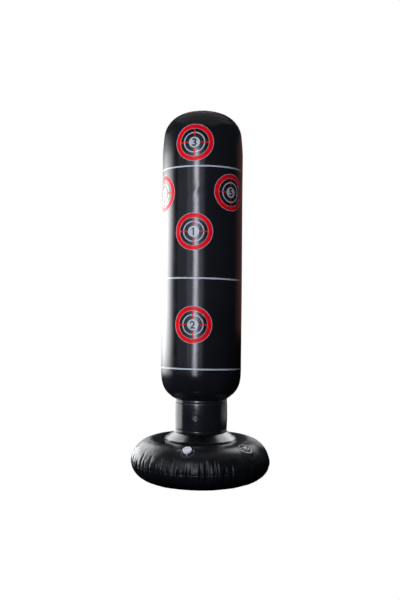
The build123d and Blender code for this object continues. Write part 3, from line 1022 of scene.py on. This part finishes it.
# Brightness as shares of the peak, by direction in degrees to the left and by height.
WINDOW_BY_TURN = (
    (80, 0), (86, 0.08), (94, 0.45), (103, 0.8), (112, 0.95), (126, 0.95),
    (136, 0.6), (147, 0.33), (158, 0.17), (170, 0.08), (181, 0.05),
)
WINDOW_BY_HEIGHT = (
    (0.1, 0), (0.2, 0.15), (0.35, 0.58), (0.5, 0.85), (0.65, 1),
    (1.4, 1), (1.6, 0.62), (1.78, 0.28), (2.0, 0.1), (2.2, 0),
)


def window_panel():
    """A tall curved light behind the left of the column, brightest in its middle."""
    angles, heights = np.arange(-70, -182, -1.5), np.arange(0.05, 2.26, 0.05)
    grid_z, grid_t = np.meshgrid(heights, np.radians(angles), indexing="ij")
    forward = np.cos(grid_t)[..., None] * np.array(towards)
    points = (forward + np.sin(grid_t)[..., None] * np.array(rightwards)) * WINDOW_D
    points[..., 2] = grid_z
    mesh = bpy.data.meshes.new("window_panel")
    faces = grid_faces(len(heights), len(angles), False)
    mesh.from_pydata(points.reshape(-1, 3).tolist(), [], faces.tolist())
    by_turn = np.interp(-np.degrees(grid_t), *zip(*WINDOW_BY_TURN))
    by_height = np.interp(grid_z, *zip(*WINDOW_BY_HEIGHT))
    level = mesh.attributes.new("level", "FLOAT", "POINT")
    level.data.foreach_set("value", (WINDOW_PEAK * by_turn * by_height).astype(np.float32).ravel())
    m = bpy.data.materials.new("window_light")
    m.use_nodes = True
    tree = m.node_tree
    tree.nodes.clear()
    glow = tree.nodes.new("ShaderNodeEmission")
    glow.inputs["Color"].default_value = (*WINDOW_WHITE, 1)
    share = tree.nodes.new("ShaderNodeAttribute")
    share.attribute_name = "level"
    end = tree.nodes.new("ShaderNodeOutputMaterial")
    tree.links.new(share.outputs["Fac"], glow.inputs["Strength"])
    tree.links.new(glow.outputs["Emission"], end.inputs["Surface"])
    mesh.materials.append(m)
    panel = bpy.data.objects.new("window_panel", mesh)
    bpy.context.scene.collection.objects.link(panel)
    panel.visible_camera = False
    panel.visible_shadow = False
    panel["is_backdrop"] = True
    return panel


column_lights = [
    window_panel(),
    wall_light("card_right", 110, 172, 2.2, 0.55, 2.0, 0.17, (1.0, 0.32, 0.28)),
    wall_light("glow", -36, -86, 3.2, 0.2, 2.4, 0.40, (0.75, 0.87, 1.0)),
]
upright_lights = (
    wall_light("strip", -12.5, -22.5, 2.4, 0.22, 2.05, 12.5, (0.88, 0.88, 1.0)),
    wall_light("strip_halo", 3, -41, 2.9, 0.25, 2.2, 1.05, STRIP_BLUE),
)
area_light("overhead", (0, 0, 3.4), (0, 0, 0), 3.6, 3.6, 0.2, (1, 1, 1))
collar_lights = [
    area_light(
        name, direction(angle) * 1.28 + Vector((0, 0, 1.14)), (0, 0, 0.19), 1.5, 1.2, radiance, WINDOW_WHITE
    )
    for name, angle, radiance in (("collar_left", -145, 6.4), ("collar_right", 145, 5.2))
]
neck_lights = (
    wall_light("neck_left", -83, -168, 1.05, 0.02, 0.34, 4.2, WINDOW_WHITE),
    wall_light("neck_right", 96, 150, 1.4, 0.05, 0.36, 0.42, (0.95, 0.97, 1.0)),
)
base_lights = (
    wall_light("base_left_low", -95, -142, 1.05, 0.02, 0.36, 5.2, WINDOW_WHITE),
    wall_light("low_strip", -4, -24, 2.4, 0.22, 1.6, 2.6, STRIP_BLUE),
)
low_lights = (
    wall_light("base_left", -100, -155, 2.2, 0.50, 1.9, 4.0, WINDOW_WHITE),
    wall_light("base_left_edge", -155, -167, 2.2, 0.10, 0.95, 1.3, WINDOW_WHITE),
    wall_light("base_right", 154, 170, 2.2, 0.10, 0.75, 1.1, (0.95, 0.95, 1.0)),
    wall_light("low_front", 14, -74, 1.9, 0.30, 1.3, 0.6, (0.82, 0.88, 1.0)),
    area_light(
        "low_back_right", direction(133) * 1.15 + Vector((0, 0, 1.2)), (0, 0, 0.15),
        0.75, 0.8, 4.2, (0.98, 0.98, 1.0),
    ),
)

# Some lights stand where another part of the bag would mirror them too, so each group is
# linked to the pieces that it is for. The overhead light serves them all.


def linked(name, lights, pieces):
    group = bpy.data.collections.new(name)
    for piece in pieces:
        group.objects.link(piece)
    for light in lights:
        light.light_linking.receiver_collection = group


fittings = [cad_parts[n] for n in finishes]
low_films = [neck_upper, neck_lower, base_upper, base_lower]
others = {piece.name for piece in (*low_films, collar, *fittings)}
column_pieces = [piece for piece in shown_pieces() if piece.name not in others and not piece.hide_render]
linked("column_pieces", column_lights, column_pieces)
linked("upright_pieces", upright_lights, [*column_pieces, neck_upper, neck_lower, *fittings])
linked("low_pieces", low_lights, [*low_films, *fittings])
linked("collar_pieces", collar_lights, [collar])
linked("neck_pieces", neck_lights, [neck_upper, neck_lower, *fittings])
linked("base_pieces", base_lights, [base_upper, base_lower])


def for_camera(tree, others, seen, end):
    """Gives camera rays one shader and all other rays another."""
    mix = tree.nodes.new("ShaderNodeMixShader")
    rays = tree.nodes.new("ShaderNodeLightPath")
    tree.links.new(rays.outputs["Is Camera Ray"], mix.inputs["Fac"])
    tree.links.new(others, mix.inputs[1])
    tree.links.new(seen, mix.inputs[2])
    tree.links.new(mix.outputs["Shader"], end)


world = bpy.data.worlds.new("studio")
bpy.context.scene.world = world
world.use_nodes = True
world_tree = world.node_tree
world_tree.nodes.clear()
world_end = world_tree.nodes.new("ShaderNodeOutputWorld")
dim = world_tree.nodes.new("ShaderNodeBackground")
bright = world_tree.nodes.new("ShaderNodeBackground")
dim.inputs["Color"].default_value = (0.035, 0.038, 0.045, 1)
bright.inputs["Color"].default_value = (1, 1, 1, 1)
for_camera(world_tree, dim.outputs["Background"], bright.outputs["Background"], world_end.inputs["Surface"])

FLOOR_REACH, FLOOR_Z = 40, -0.0004
floor_mesh = bpy.data.meshes.new("floor")
corners = [(x * FLOOR_REACH, y * FLOOR_REACH, 0) for x, y in ((-1, -1), (1, -1), (1, 1), (-1, 1))]
floor_mesh.from_pydata(corners, [], [(0, 1, 2, 3)])
floor = bpy.data.objects.new("floor", floor_mesh)
bpy.context.scene.collection.objects.link(floor)
floor.location.z = FLOOR_Z
floor_paint, floor_tree, floor_bsdf = material("floor_paint", (0.05, 0.05, 0.055), 0.9)
vary_colour(floor_tree, floor_bsdf, (0.045, 0.045, 0.05), (0.055, 0.055, 0.06), 3)
floor_glow = floor_tree.nodes.new("ShaderNodeEmission")
floor_glow.inputs["Strength"].default_value = 1
floor_end = floor_tree.nodes["Material Output"].inputs["Surface"]
for_camera(floor_tree, floor_bsdf.outputs["BSDF"], floor_glow.outputs["Emission"], floor_end)
floor_mesh.materials.append(floor_paint)
floor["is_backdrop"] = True

view = bpy.context.scene.view_settings
view.view_transform = "Standard"
view.look = "None"

bpy.context.view_layer.update()
